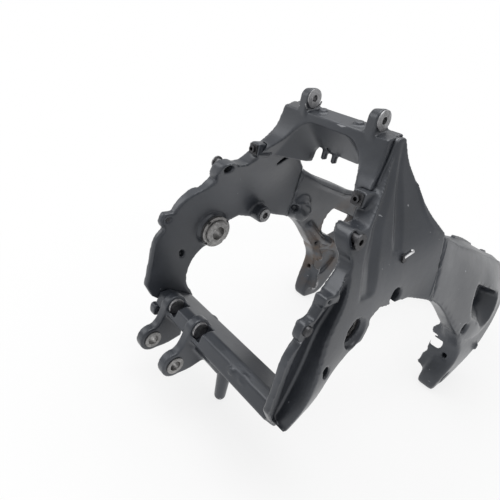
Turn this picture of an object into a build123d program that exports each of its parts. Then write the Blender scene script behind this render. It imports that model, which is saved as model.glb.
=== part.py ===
from build123d import *
import os

os.makedirs("parts", exist_ok=True)

# Frame of the model: the swingarm pivot axis is Y and passes through the origin, +X runs to the
# steering head, +Z is up as the frame stands on its two engine hangers and its rear stub.

# driving dimensions, in millimetres
table_drop = 219.0            # from the pivot axis down to the surface that the frame stands on
fit_gap = 0.2                 # clearance around a turned piece in the bore that it sits in
inner_half = 122.0            # mid-plane to the inner face of the side castings, at the pivot
rim_thickness = 13.0          # rear rim of the side castings
channel_floor = 6.0           # skin left inside the channel behind the rim
seam_x = 161.0                # where the weld between side and head castings crosses its mid height
seam_z = 43.0
seam_lean = 6.0               # the weld leans forward at its top, in degrees

pivot_bore_r = 10.2           # swingarm pivot spindle
pivot_collar_r = 19.0
pivot_collar_length = 30.0
pivot_boss_r = 25.5
pivot_boss_reach = 6.0
pivot_access_r = 19.0         # opening in the outer face, to turn the adjuster
ring_r = 24.0                 # lock ring on the adjuster
ring_thickness = 6.0

engine_x = 82.0               # upper rear engine mounts
engine_z = 22.0
engine_boss_r = 13.5
engine_boss_reach = 20.0      # how far the boss stands in from the inner face
engine_flange_r = 10.5
engine_collar_r = 8.5
engine_bore_r = 5.2
engine_access_r = 11.0

hanger_x = 331.0              # lower front engine mounts
hanger_z = -191.0
hanger_face = inner_half + 17.0     # mid-plane to the inner face of each hanger tip
hanger_flange_r = 10.0
hanger_collar_r = 8.0
hanger_bore_r = 5.2
collar_flange = 2.0           # flange thickness of the engine collars
collar_depth = 20.0           # how deep their shanks sit

head_x = 672.0                # middle of the steering head
head_z = -144.0
head_lean = 25.0              # the steering axis leans forward at its top, in degrees
head_length = 128.0
head_r = 34.0
head_bore_r = 21.0
race_r = 26.0                 # seat of each bearing race
race_depth = 14.0
race_wall = 4.0
arm_rise = 12.0               # how far the top of each arm rises towards its inner edge

cross_rear_x = 48.0           # upper crossmember
cross_front_x = 75.0
cross_top_z = 200.5
cross_fall = 7.5              # its top face falls by this much to the rear
cross_web_z = 148.0           # lower edge of its front web
lug_left_face = 42.0          # seat rail lugs: faces that look to the right, from the mid-plane
lug_right_face = -61.0
lug_thickness = 15.0
lug_x = 57.0
lug_z = 209.5
lug_r = 12.5
lug_flange_r = 11.5
lug_bush_r = 7.0
lug_bore_r = 4.2
lug_flange = 1.5

link_x = -99.0                # lower holes of the shock link lugs
link_z = -148.0
link_top_x = -68.0            # upper holes of the shock link lugs
link_top_z = -98.0
link_tip_r = 19.0
link_root_r = 15.0
link_thickness = 14.0
link_right_face = 30.0        # lug faces that look to the right, from the mid-plane
link_left_face = 90.0
link_bush_r = 10.0
link_bore_r = 7.5
link_flange_r = 12.5
link_flange = 1.5
link_pin_r = 7.0

stub_x = -28.0                # rear stub that the frame stands on
stub_y = 4.0
stub_r = 8.5

ear_x = -12.0                 # upper hole of the rear edge
ear_z = 102.0
ear_half = inner_half - 9.0
heel_x = -76.0                # screw in the lower ear
heel_z = 22.0
clip_x = 16.0                 # clip nut lugs beside the arch
clip_z = 132.0
clip_half = inner_half - 36.0
clip_size = 18.0

# All widths in the tables below are measured outwards from inner_half.
# Each cross-section of the side beam lists (z, inner width, outer width) from top to foot.
beam_sections = {
    -120.0: [(215, -70, -60), (150, -62, -42), (90, -18, -8), (40, 9, 18),
             (0, 11, 24), (-60, 8, 24), (-120, 0, 12), (-235, -2, 8)],
    -30.0: [(215, -64, -46), (150, -56, -28), (90, -19, 0), (40, -2, 19),
            (0, 0, 26), (-60, 0, 27), (-120, -1, 12), (-235, -2, 8)],
    60.0: [(215, -54, -39), (150, -50, -24), (90, -22, 1), (40, -4, 15),
           (0, 0, 19), (-60, 0, 22), (-120, -1, 14), (-235, -1, 12)],
    110.0: [(215, -48, -30), (150, -40, -16), (90, -16, 8), (40, -4, 17),
            (0, 0, 19), (-60, 2, 28), (-120, 3, 28), (-235, 3, 28)],
    160.0: [(215, -44, -18), (150, -30, -1), (90, -10, 16), (40, -3, 24),
            (0, 2, 30), (-60, 6, 34), (-120, 8, 38), (-235, 8, 38)],
    240.0: [(215, -44, -18), (150, -30, -1), (90, -15, 13), (40, -6, 22),
            (0, 8, 36), (-60, 16, 44), (-120, 18, 48), (-235, 16, 44)],
}

# Each arm section lists top, middle and bottom height, then (inner, outer) widths at these heights.
arm_sections = {
    135.0: (99, 55, 7, (-16, 10), (-7, 19), (0, 28)),
    165.0: (88, 45, 0, (-12, 16), (-4, 25), (2, 30)),
    213.0: (70, 25, -25, (-12, 17), (0, 28), (10, 36)),
    260.0: (56, 0, -64, (-12, 18), (8, 36), (17, 45)),
    316.0: (39, -20, -104, (-13, 18), (16, 45), (24, 55)),
    386.0: (17, -35, -110, (-15, 16), (18, 49), (22, 56)),
    452.0: (-4, -50, -108, (-18, 13), (8, 42), (14, 49)),
    486.0: (-15, -60, -114, (-20, 12), (4, 38), (10, 44)),
    530.0: (-30, -78, -126, (-38, -6), (-20, 14), (-16, 18)),
    585.0: (-50, -98, -151, (-78, -48), (-68, -34), (-64, -30)),
    640.0: (-70, -115, -172, (-112, -84), (-112, -78), (-108, -76)),
    684.0: (-86, -118, -160, (-128, -98), (-129, -93), (-128, -92)),
}

# Each hanger section lists (rear x, front x, inner width, outer width) at its height.
hanger_sections = {
    -70.0: (290, 452, 19, 50),
    -104.0: (301, 449, 22, 54),
    -125.0: (315, 436, 23, 56),
    -150.0: (318, 415, 22, 57),
    -180.0: (309, 390, 20, 54),
    -205.0: (304, 369, 19, 50),
    -table_drop: (312, 346, 20, 47),
}

# Each groove row lists its height, x at the rear edge, floor and front edge, then the widths there.
crease_groove = [
    (197, 59, 61, 64, -37, -37.5, -37),
    (172, 53, 58, 65, -32, -34.5, -31),
    (155, 46, 53, 63, -27, -30.5, -25),
    (136, 35, 44, 57, -19, -23.5, -17),
    (109, 15, 27, 44, -8, -13, -6),
    (75, 2, 16, 36, 4, 0.5, 7),
    (40, -6, 12, 36, 17, 14.5, 18),
]
valley_groove = [
    (194, 66, 69, 73, -36, -36.5, -36),
    (172, 64, 68, 74, -31, -32.5, -30),
    (140, 62, 67, 75, -21, -23, -19),
    (110, 58, 64, 74, -8, -10, -7),
    (78, 54, 61, 72, 5, 4, 6),
]


def side_beam(side, first, last):
    """Envelope of one side between two stations: its inner and outer surfaces run smoothly along X."""
    with BuildPart() as beam:
        for x, rows in beam_sections.items():
            if x < first or x > last:
                continue
            with BuildSketch(Plane.YZ.offset(x)):
                with BuildLine():
                    outer = [(side * (inner_half + far), z) for z, near, far in rows]
                    inner = [(side * (inner_half + near), z) for z, near, far in rows]
                    Spline(*outer)
                    Line(outer[-1], inner[-1])
                    Spline(*inner[::-1])
                    Line(inner[0], outer[0])
                make_face()
        loft()
    return beam.part


def side_outline():
    """Side view of a rear side casting: foot, lobed rear edge, shoulder, spar and engine side."""
    with BuildLine() as edge:
        Polyline((-22, -122), (-45, -120), (-64, -115), (-86, -100), (-98, -80))
        Spline((-98, -80), (-96, -58), (-94, -30), (-92, -12), (-79, 7))
        Spline((-79, 7), (-87, 18), (-84, 29), (-68, 32), tangents=((-0.6, 0.6), (1, 0.1)))
        Spline((-68, 32), (-58, 48), (-44, 60), (-31, 68), (-20, 82), tangents=((0.3, 1), (0.2, 1)))
        Spline((-20, 82), (-25, 94), (-22, 107), (-6, 111), (14, 110), tangents=((-0.5, 0.8), (1, 0.2)))
        Spline((14, 110), (35, 135.5), (47, 155), (54, 172), (60, 193))
        Polyline((60, 193), (65, 197), (74, 198), (80, 184))
        Spline((80, 184), (85, 174), (96, 158), (105, 145), (120, 124), (147, 101), (166, 87))
        Polyline((166, 87), (220, 68), (220, -38), (160, 2), (128, 9), (116, 12))
        Polyline((116, 12), (70, 12), (48, 16), (29, 9))
        ThreePointArc((29, 9), (30, -4), (21, -20))
        Spline((21, -20), (0, -25), (-16, -35), (-31, -62), (-32, -79), (-20, -104))
        Polyline((-20, -104), (-15, -114), (-22, -122))
    return edge.line


def window_outline():
    """Side view of the large window through each arm of the head casting."""
    with BuildLine() as edge:
        Polyline((306, -2), (386, -30), (406, -38))
        ThreePointArc((406, -38), (415, -46), (413, -60))
        Spline((413, -60), (396, -84), (366, -90), (341, -74), tangents=((-0.5, -1), (-0.9, 0.7)))
        Spline((341, -74), (310, -60), (296, -30), (306, -2), tangents=((-0.9, 0.3), (0.7, 0.8)))
    return edge.line


def channel_outline(rear_edge):
    """Side view of the recess behind the outer web, from its rear edge to the edge of the web."""
    web_edge = [(-24, 74), (-32, 46), (-48, 14), (-55, -26), (-64, -66), (-76, -104)]
    with BuildLine() as edge:
        Spline(*rear_edge)
        Line(rear_edge[-1], web_edge[0])
        Spline(*web_edge)
        Line(web_edge[-1], rear_edge[0])
    return edge.line


def seam_cutter(ahead):
    """A block that holds everything ahead of the weld plane, or everything behind it."""
    plane = Plane((seam_x, 0, seam_z), x_dir=(0, 1, 0), z_dir=Vector(1, 0, 0).rotate(Axis.Y, -seam_lean))
    with BuildPart() as block:
        with BuildSketch(plane):
            Rectangle(900, 900)
        extrude(amount=900 if ahead else -900)
    return block.part


def y_bore(x, z, radius, y0, y1):
    """A plain cylinder along Y from y0 to y1, to bore or to add."""
    with BuildPart() as bore:
        with BuildSketch(Plane.XZ.offset(-y0)):
            with Locations((x, z)):
                Circle(radius)
        extrude(amount=y0 - y1)
    return bore.part


def groove_cutter(rows, side):
    """V-shaped groove in the outer face: it fans out and softens on its way down from the shoulder."""
    far_out = inner_half + 68
    with BuildPart() as groove:
        for z, rear, floor, front, rear_w, floor_w, front_w in rows:
            with BuildSketch(Plane.XY.offset(z)):
                with BuildLine():
                    Polyline((rear, side * (inner_half + rear_w)), (floor, side * (inner_half + floor_w)),
                             (front, side * (inner_half + front_w)), (front, side * far_out),
                             (rear, side * far_out), close=True)
                make_face()
        loft(ruled=True)
    return groove.part


def turned(x, y, z, side, profile):
    """A piece turned about an axis along Y: the profile lists (distance out from y, radius)."""
    with BuildPart() as piece:
        with BuildSketch(Plane((x, y, z), x_dir=(0, side, 0), z_dir=(1, 0, 0))):
            with BuildLine():
                Polyline(*profile, close=True)
            make_face()
        revolve(axis=Axis((x, y, z), (0, 1, 0)))
    return piece.part


def flanged_collar(x, y, z, side, flange, flange_r, depth, shank_r, bore_r):
    """Collar whose flange rests on the face at y, with its shank pointing outwards into the bore."""
    return turned(x, y, z, side, [(-flange, bore_r), (-flange, flange_r), (0, flange_r), (0, shank_r),
                                  (depth, shank_r), (depth, bore_r)])


def side_casting(side):
    """Rear side casting: faceted spar, thin rear rim, pivot and engine mount bosses."""
    beam = side_beam(side, -120, 240)
    pivot_face = inner_half - pivot_boss_reach
    engine_face = inner_half - engine_boss_reach
    near = inner_half - 42
    far = inner_half + 78
    access = inner_half + 4
    with BuildPart() as casting:
        with BuildSketch(Plane.XZ):
            make_face(side_outline())
        extrude(amount=-side * 240)
        add(beam, mode=Mode.INTERSECT)
        add(seam_cutter(True), mode=Mode.SUBTRACT)
        add(groove_cutter(crease_groove, side), mode=Mode.SUBTRACT)
        add(groove_cutter(valley_groove, side), mode=Mode.SUBTRACT)
        # bosses on the inner face
        add(y_bore(0, 0, pivot_boss_r, side * pivot_face, side * (inner_half + 8)))
        add(y_bore(engine_x, engine_z, engine_boss_r, side * engine_face, side * (inner_half + 8)))
        # lug for the clip nut
        with BuildSketch(Plane.YZ.offset(clip_x)):
            with Locations((side * clip_half, clip_z)):
                RectangleRounded(clip_size, clip_size, 3)
        extrude(amount=24)
        # recessed channel down the rear of the outer face, in two steps
        with BuildSketch(Plane.XZ.offset(-side * (inner_half + rim_thickness))):
            make_face(channel_outline([(-112, -96), (-112, -20), (-98, 30), (-66, 62), (-30, 92)]))
        extrude(amount=-side * 60, mode=Mode.SUBTRACT)
        with BuildSketch(Plane.XZ.offset(-side * (inner_half + channel_floor))):
            make_face(channel_outline([(-86, -94), (-84, -30), (-76, 8), (-54, 42), (-33, 66)]))
        extrude(amount=-side * 60, mode=Mode.SUBTRACT)
        # swingarm pivot: seat of the adjuster, spindle way and access opening
        add(y_bore(0, 0, pivot_collar_r + fit_gap, side * near, side * (pivot_face + 20)), mode=Mode.SUBTRACT)
        add(y_bore(0, 0, pivot_collar_r - 4, side * near, side * far), mode=Mode.SUBTRACT)
        add(y_bore(0, 0, pivot_access_r, side * (pivot_face + 25), side * far), mode=Mode.SUBTRACT)
        # engine mount
        add(y_bore(engine_x, engine_z, engine_collar_r + fit_gap, side * near, side * access),
            mode=Mode.SUBTRACT)
        add(y_bore(engine_x, engine_z, engine_access_r, side * access, side * far), mode=Mode.SUBTRACT)
        # upper ear hole and lower ear screw hole
        add(y_bore(ear_x, ear_z, 6 + fit_gap, side * near, side * far), mode=Mode.SUBTRACT)
        add(y_bore(heel_x, heel_z, 3 + fit_gap, side * near, side * far), mode=Mode.SUBTRACT)
    return casting.part


def arm_section(x, top, middle, bottom, head, waist, foot, side, grow=0.0, inward=0.0):
    """Cross-section of an arm: top that rises inwards, bowed sides, rounded corners, grown by an offset."""
    rise = arm_rise * min(1, max(0, (x - seam_x) / 95))
    with BuildSketch(Plane.YZ.offset(x)) as section:
        with BuildLine():
            near = inner_half - grow - inward
            far = inner_half + grow
            inner_top = (side * (near + head[0]), top + rise + grow)
            outer_top = (side * (far + head[1]), top + grow)
            outer_foot = (side * (far + foot[1]), bottom - grow)
            inner_foot = (side * (near + foot[0]), bottom - grow)
            Line(inner_top, outer_top)
            ThreePointArc(outer_top, (side * (far + waist[1]), middle), outer_foot)
            Line(outer_foot, inner_foot)
            ThreePointArc(inner_foot, (side * (near + waist[0]), middle), inner_top)
        make_face()
        fillet(section.vertices(), 5 + grow / 2)
    return section.sketch


def arm(side):
    """One arm of the head casting with its window, its inner pocket and its engine hanger."""
    with BuildPart() as piece:
        for x, (top, middle, bottom, head, waist, foot) in arm_sections.items():
            add(arm_section(x, top, middle, bottom, head, waist, foot, side))
        loft()
        add(seam_cutter(False), mode=Mode.SUBTRACT)
        # engine hanger
        with BuildPart(mode=Mode.PRIVATE) as hanger:
            for z, (rear, front, inner, outer) in hanger_sections.items():
                with BuildSketch(Plane.XY.offset(z)):
                    with Locations(((rear + front) / 2, side * (inner_half + (inner + outer) / 2))):
                        RectangleRounded(front - rear, outer - inner, 5)
            loft()
        add(hanger.part)
        with BuildSketch(Plane.XZ.offset(-side * 90)):
            make_face(window_outline())
        extrude(amount=-side * 110, mode=Mode.SUBTRACT)
        # inner pocket that leaves the outer wall
        with BuildPart(mode=Mode.PRIVATE) as pocket:
            for x in (452.0, 486.0, 530.0, 585.0):
                top, middle, bottom, head, waist, foot = arm_sections[x]
                add(arm_section(x, top, middle, bottom, head, waist, foot, side, -8, 40))
            loft()
        add(pocket.part, mode=Mode.SUBTRACT)
        # engine mount in the hanger tip: flat boss, bolt way and access from outside
        access_floor = side * (hanger_face + 23)
        add(y_bore(hanger_x, hanger_z, hanger_flange_r + 2, side * hanger_face, side * (hanger_face + 12)))
        add(y_bore(hanger_x, hanger_z, hanger_collar_r + fit_gap, side * (hanger_face - 19), access_floor),
            mode=Mode.SUBTRACT)
        add(y_bore(hanger_x, hanger_z, engine_access_r, access_floor, side * (hanger_face + 61)),
            mode=Mode.SUBTRACT)
        # oval lightening hole, and the screw hole in the rear face of the hanger
        with BuildSketch(Plane.XZ.offset(-side * 90)):
            with Locations((298, -76)):
                Ellipse(7, 9)
        extrude(amount=-side * 110, mode=Mode.SUBTRACT)
        with BuildSketch(Plane.YZ.offset(290)):
            with Locations((side * (hanger_face + 21), -150)):
                Circle(4.5)
        extrude(amount=45, mode=Mode.SUBTRACT)
    return piece.part


def link_outline():
    """Side view of a link lug: round tip, hollow upper edge, round boss on top of the crossmember."""
    with BuildLine() as edge:
        Spline((-84, -97), (-88, -114), (-99, -link_tip_r - 110), tangents=((0, -1), (-1, -0.4)))
        ThreePointArc((-99, -link_tip_r - 110), (link_x - link_tip_r, link_z), (-99, link_z - link_tip_r))
        Polyline((-99, link_z - link_tip_r), (-72, -165), (-50, -158), (-50, -104))
        ThreePointArc((-50, -104), (link_top_x, link_top_z + link_root_r), (-84, -97))
    return edge.line


def arch_outline(widths):
    """Half-round opening of the upper crossmember, from (half-width, z) points read from the top down."""
    with BuildLine() as edge:
        right = [(-w, z) for w, z in widths]
        left = [(w, z) for w, z in widths]
        Line(left[0], right[0])
        Spline(*right)
        Line(right[-1], left[-1])
        Spline(*left[::-1])
    return edge.line


with BuildPart() as left_side_casting:
    add(side_casting(1))
left_side_casting.part.label = "left_side_casting"
export_step(left_side_casting.part, "parts/left_side_casting.step")

with BuildPart() as right_side_casting:
    add(mirror(left_side_casting.part, about=Plane.XZ))
    # small tab beside the lower ear, on this side only
    with BuildSketch(Plane.XZ.offset(inner_half)):
        with Locations((-52, 51)):
            RectangleRounded(24, 11, 2)
    extrude(amount=15)
    add(y_bore(-56, 51, 2.2, 12 - inner_half, -inner_half - 23), mode=Mode.SUBTRACT)
right_side_casting.part.label = "right_side_casting"
export_step(right_side_casting.part, "parts/right_side_casting.step")

head_direction = Vector(0, 0, 1).rotate(Axis.Y, head_lean)
head_plane = Plane((head_x, 0, head_z), x_dir=(0, 1, 0), z_dir=head_direction)
head_half = head_length / 2

with BuildPart() as head_casting:
    add(arm(1))
    add(arm(-1))
    # web that ties the two arms together behind the steering head
    with BuildSketch(Plane.XZ.offset(-30)):
        with BuildLine():
            Polyline((600, -62), (682, -90), (650, -172), (612, -156), close=True)
        make_face()
    extrude(amount=60)
    with BuildSketch(head_plane.offset(-head_half)):
        Circle(head_r)
    extrude(amount=head_length)
    # its bore, and the room that leaves its two end faces flat
    with BuildSketch(head_plane.offset(-head_half)):
        Circle(head_bore_r)
    extrude(amount=head_length, mode=Mode.SUBTRACT)
    for way in (-1, 1):
        with BuildSketch(head_plane.offset(way * head_half)):
            Circle(head_r + 3)
        extrude(amount=way * 50, mode=Mode.SUBTRACT)
    for level in (-head_half, head_half - race_depth):
        with BuildSketch(head_plane.offset(level)):
            Circle(race_r + fit_gap)
        extrude(amount=race_depth, mode=Mode.SUBTRACT)
head_casting.part.label = "head_casting"
export_step(head_casting.part, "parts/head_casting.step")

with BuildPart() as upper_crossmember:
    # side view, carried across between the two side castings
    with BuildSketch(Plane.XZ.offset(7 - inner_half)):
        with BuildLine():
            Polyline((cross_rear_x, cross_top_z - cross_fall), (cross_front_x, cross_top_z), (84, 175),
                     (94, cross_web_z), (98, 125), (22, 125))
            Spline((22, 125), (28, 140), (40, 155), (46, 174), (cross_rear_x, cross_top_z - cross_fall))
        make_face()
    extrude(amount=2 * inner_half - 14)
    # arch: high at the rear, low at the front web
    with BuildPart(mode=Mode.PRIVATE) as arch:
        rear_arch = [(24, 183), (44, 175), (58, 156), (70, 138), (84, 119), (100, 80)]
        front_arch = [(26, cross_web_z), (45, 144), (49, 132), (54, 120), (62, 107), (78, 80)]
        for x, rows in ((10, rear_arch), (cross_rear_x, rear_arch), (86, front_arch), (110, front_arch)):
            with BuildSketch(Plane.YZ.offset(x)):
                make_face(arch_outline(rows))
        loft(ruled=True)
    add(arch.part, mode=Mode.SUBTRACT)
    # front view, down to the two legs
    with BuildSketch(Plane.YZ):
        with BuildLine():
            top_half, mid_half, leg_half = inner_half - 44, inner_half - 36, inner_half - 23
            Polyline((-top_half, 210), (top_half, 210), (mid_half, 150), (leg_half, 112),
                     (-leg_half, 112), (-mid_half, 150), close=True)
        make_face()
    extrude(amount=140, mode=Mode.INTERSECT)
    # seat rail lugs
    for y in (lug_left_face, lug_right_face):
        for distance, shrink in ((0, 0), (lug_thickness, 3)):
            with BuildSketch(Plane.XZ.offset(-y - distance)):
                with BuildLine():
                    Line((46 + shrink, 187), (44.6 + shrink, lug_z + 1))
                    ThreePointArc((44.6 + shrink, lug_z + 1), (lug_x, lug_z + lug_r - shrink),
                                  (69.3 - shrink, lug_z - 2))
                    Polyline((69.3 - shrink, lug_z - 2), (81 - shrink, 187), (46 + shrink, 187))
                make_face()
        loft()
        add(y_bore(lug_x, lug_z, lug_bush_r + fit_gap, y - 5, y + 20), mode=Mode.SUBTRACT)
    # two prongs of the cable guide under the front web
    for y in (9, 26):
        with BuildSketch(Plane.YZ.offset(84)):
            with Locations((y, 150)):
                RectangleRounded(7, 27, 3)
        extrude(amount=7)
    # holes for the two small screws in the top face
    for y in (-28, 28):
        with BuildSketch(Plane.XY.offset(182)):
            with Locations((61, y)):
                Circle(2.5 + fit_gap)
        extrude(amount=30, mode=Mode.SUBTRACT)
    add(left_side_casting.part, mode=Mode.SUBTRACT)
    add(right_side_casting.part, mode=Mode.SUBTRACT)
upper_crossmember.part.label = "upper_crossmember"
export_step(upper_crossmember.part, "parts/upper_crossmember.step")

with BuildPart() as lower_crossmember:
    with BuildSketch(Plane.XZ.offset(-inner_half)):
        with BuildLine():
            Polyline((-19, -110), (-25, -147), (-50, -145), (-82, -110), (-76, -92), (-62, -90), close=True)
        make_face()
    extrude(amount=2 * inner_half)
    # the two ends rise towards the castings
    for side in (-1, 1):
        with BuildSketch(Plane.YZ.offset(-95)):
            with BuildLine():
                Polyline((side * (inner_half - 34), -147.5), (side * (inner_half - 17), -143),
                         (side * (inner_half + 1), -134), (side * (inner_half + 1), -170),
                         (side * (inner_half - 34), -170), close=True)
            make_face()
        extrude(amount=80, mode=Mode.SUBTRACT)
    # link lugs, each a plate that tapers from its root to its lower hole
    for face in (link_right_face, link_left_face):
        with BuildSketch(Plane.XZ.offset(-face)):
            make_face(link_outline())
        extrude(amount=-link_thickness)
        add(y_bore(link_x, link_z, link_bush_r + fit_gap, face - 5, face + 25), mode=Mode.SUBTRACT)
        add(y_bore(link_top_x, link_top_z, link_pin_r + fit_gap, face - 5, face + 11), mode=Mode.SUBTRACT)
    # block beside the right link lug, with its round boss
    with BuildSketch(Plane.XZ.offset(-link_right_face)):
        with BuildLine():
            Polyline((-30, -112), (-30, -160), (-50, -158), (-72, -128), (-60, -104), close=True)
        make_face()
    extrude(amount=34)
    # flat seats beside the two link pins
    for face in (link_right_face, link_left_face):
        add(y_bore(link_top_x, link_top_z, 13, face - 16, face), mode=Mode.SUBTRACT)
    # rear stub
    with BuildSketch(Plane.XY.offset(-table_drop + 4)):
        with Locations((stub_x, stub_y)):
            Circle(stub_r)
    with BuildSketch(Plane.XY.offset(-140)):
        with Locations((stub_x - 2, stub_y)):
            Circle(stub_r + 3)
    loft()
    with BuildSketch(Plane.XY.offset(-table_drop)):
        with Locations((stub_x, stub_y)):
            Circle(stub_r - 2.5)
    with BuildSketch(Plane.XY.offset(-table_drop + 4)):
        with Locations((stub_x, stub_y)):
            Circle(stub_r)
    loft()
    add(left_side_casting.part, mode=Mode.SUBTRACT)
    add(right_side_casting.part, mode=Mode.SUBTRACT)
lower_crossmember.part.label = "lower_crossmember"
export_step(lower_crossmember.part, "parts/lower_crossmember.step")

# bearing races, one in each end of the steering head
with BuildPart() as upper_head_race:
    with BuildSketch(head_plane.offset(head_half - race_depth)):
        Circle(race_r)
        Circle(race_r - race_wall, mode=Mode.SUBTRACT)
    extrude(amount=race_depth - 1)
upper_head_race.part.label = "upper_head_race"
export_step(upper_head_race.part, "parts/upper_head_race.step")

with BuildPart() as lower_head_race:
    with BuildSketch(head_plane.offset(-head_half + race_depth)):
        Circle(race_r)
        Circle(race_r - race_wall, mode=Mode.SUBTRACT)
    extrude(amount=-race_depth + 1)
lower_head_race.part.label = "lower_head_race"
export_step(lower_head_race.part, "parts/lower_head_race.step")

# swingarm pivot adjusters: each rests on the step in its bore and stands out of the boss
pivot_seat = inner_half - pivot_boss_reach + 20
collar_profile = [(0, pivot_bore_r), (0, pivot_collar_r - 1.5), (-1.5, pivot_collar_r),
                  (-pivot_collar_length + 1.5, pivot_collar_r), (-pivot_collar_length, pivot_collar_r - 1.5),
                  (-pivot_collar_length, pivot_bore_r)]

with BuildPart() as left_pivot_collar:
    add(turned(0, pivot_seat, 0, 1, collar_profile))
left_pivot_collar.part.label = "left_pivot_collar"
export_step(left_pivot_collar.part, "parts/left_pivot_collar.step")

with BuildPart() as right_pivot_collar:
    add(turned(0, -pivot_seat, 0, -1, collar_profile))
right_pivot_collar.part.label = "right_pivot_collar"
export_step(right_pivot_collar.part, "parts/right_pivot_collar.step")

ring_inner_r = pivot_collar_r + fit_gap
ring_profile = [(0, ring_inner_r), (0, ring_r), (1 - ring_thickness, ring_r),
                (-ring_thickness, ring_r - 1), (-ring_thickness, ring_inner_r)]

with BuildPart() as pivot_lock_ring:
    add(turned(0, inner_half - pivot_boss_reach, 0, 1, ring_profile))
    # four slots for the hook spanner
    with BuildSketch(Plane.XZ.offset(-inner_half + pivot_boss_reach)):
        with PolarLocations((0, 0), 4, start_angle=45):
            with Locations((ring_r, 0)):
                Rectangle(5, 5)
    extrude(amount=ring_thickness, mode=Mode.SUBTRACT)
pivot_lock_ring.part.label = "pivot_lock_ring"
export_step(pivot_lock_ring.part, "parts/pivot_lock_ring.step")

# engine mount collars
engine_face = inner_half - engine_boss_reach

with BuildPart() as left_engine_collar:
    add(flanged_collar(engine_x, engine_face, engine_z, 1, collar_flange, engine_flange_r, collar_depth,
                       engine_collar_r, engine_bore_r))
left_engine_collar.part.label = "left_engine_collar"
export_step(left_engine_collar.part, "parts/left_engine_collar.step")

with BuildPart() as right_engine_collar:
    add(flanged_collar(engine_x, -engine_face, engine_z, -1, collar_flange, engine_flange_r, collar_depth,
                       engine_collar_r, engine_bore_r))
right_engine_collar.part.label = "right_engine_collar"
export_step(right_engine_collar.part, "parts/right_engine_collar.step")

with BuildPart() as left_hanger_collar:
    add(flanged_collar(hanger_x, hanger_face, hanger_z, 1, collar_flange, hanger_flange_r, collar_depth,
                       hanger_collar_r, hanger_bore_r))
left_hanger_collar.part.label = "left_hanger_collar"
export_step(left_hanger_collar.part, "parts/left_hanger_collar.step")

with BuildPart() as right_hanger_collar:
    add(flanged_collar(hanger_x, -hanger_face, hanger_z, -1, collar_flange, hanger_flange_r, collar_depth,
                       hanger_collar_r, hanger_bore_r))
right_hanger_collar.part.label = "right_hanger_collar"
export_step(right_hanger_collar.part, "parts/right_hanger_collar.step")

# bushes of the seat rail lugs, with their flanges on the right-hand faces
with BuildPart() as left_rail_bush:
    add(flanged_collar(lug_x, lug_left_face, lug_z, 1, lug_flange, lug_flange_r,
                       lug_thickness, lug_bush_r, lug_bore_r))
left_rail_bush.part.label = "left_rail_bush"
export_step(left_rail_bush.part, "parts/left_rail_bush.step")

with BuildPart() as right_rail_bush:
    add(flanged_collar(lug_x, lug_right_face, lug_z, 1, lug_flange, lug_flange_r,
                       lug_thickness, lug_bush_r, lug_bore_r))
right_rail_bush.part.label = "right_rail_bush"
export_step(right_rail_bush.part, "parts/right_rail_bush.step")

# shock link bushes and the pins above them
with BuildPart() as left_link_bush:
    add(flanged_collar(link_x, link_left_face, link_z, 1, link_flange, link_flange_r, link_thickness,
                       link_bush_r, link_bore_r))
left_link_bush.part.label = "left_link_bush"
export_step(left_link_bush.part, "parts/left_link_bush.step")

with BuildPart() as right_link_bush:
    add(flanged_collar(link_x, link_right_face, link_z, 1, link_flange, link_flange_r, link_thickness,
                       link_bush_r, link_bore_r))
right_link_bush.part.label = "right_link_bush"
export_step(right_link_bush.part, "parts/right_link_bush.step")

pin_profile = [(-3, 0), (-3, 11), (-2, 12), (0, 12), (0, link_pin_r), (10, link_pin_r), (10, 0)]

with BuildPart() as left_link_pin:
    add(turned(link_top_x, link_left_face, link_top_z, 1, pin_profile))
left_link_pin.part.label = "left_link_pin"
export_step(left_link_pin.part, "parts/left_link_pin.step")

with BuildPart() as right_link_pin:
    add(turned(link_top_x, link_right_face, link_top_z, 1, pin_profile))
right_link_pin.part.label = "right_link_pin"
export_step(right_link_pin.part, "parts/right_link_pin.step")


def clip_nut(side):
    """Pressed plate with a raised nut, on the rear face of its lug."""
    with BuildPart() as piece:
        with BuildSketch(Plane.YZ.offset(clip_x)):
            with Locations((side * clip_half, clip_z)):
                RectangleRounded(clip_size - 4, clip_size - 4, 2)
        extrude(amount=-2)
        with BuildSketch(Plane.YZ.offset(clip_x - 2)):
            with Locations((side * clip_half, clip_z)):
                Circle(4.5)
        extrude(amount=-3)
        with BuildSketch(Plane.YZ.offset(clip_x)):
            with Locations((side * clip_half, clip_z)):
                Circle(2.5)
        extrude(amount=-6, mode=Mode.SUBTRACT)
    return piece.part


with BuildPart() as left_clip_nut:
    add(clip_nut(1))
left_clip_nut.part.label = "left_clip_nut"
export_step(left_clip_nut.part, "parts/left_clip_nut.step")

with BuildPart() as right_clip_nut:
    add(clip_nut(-1))
right_clip_nut.part.label = "right_clip_nut"
export_step(right_clip_nut.part, "parts/right_clip_nut.step")

# collars in the upper ears, flanged on the outer face
ear_profile = [(2, 3.5), (2, 9), (0, 9), (0, 6), (-12, 6), (-12, 3.5)]

with BuildPart() as left_ear_collar:
    add(turned(ear_x, ear_half + 8, ear_z, 1, ear_profile))
    add(left_side_casting.part, mode=Mode.SUBTRACT)
left_ear_collar.part.label = "left_ear_collar"
export_step(left_ear_collar.part, "parts/left_ear_collar.step")

with BuildPart() as right_ear_collar:
    add(turned(ear_x, -ear_half - 8, ear_z, -1, ear_profile))
    add(right_side_casting.part, mode=Mode.SUBTRACT)
right_ear_collar.part.label = "right_ear_collar"
export_step(right_ear_collar.part, "parts/right_ear_collar.step")

# screws in the lower ears
screw_profile = [(4, 0), (4, 2.5), (3, 5.5), (0, 6), (0, 3), (-10, 3), (-10, 0)]
heel_face = inner_half + rim_thickness

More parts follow.
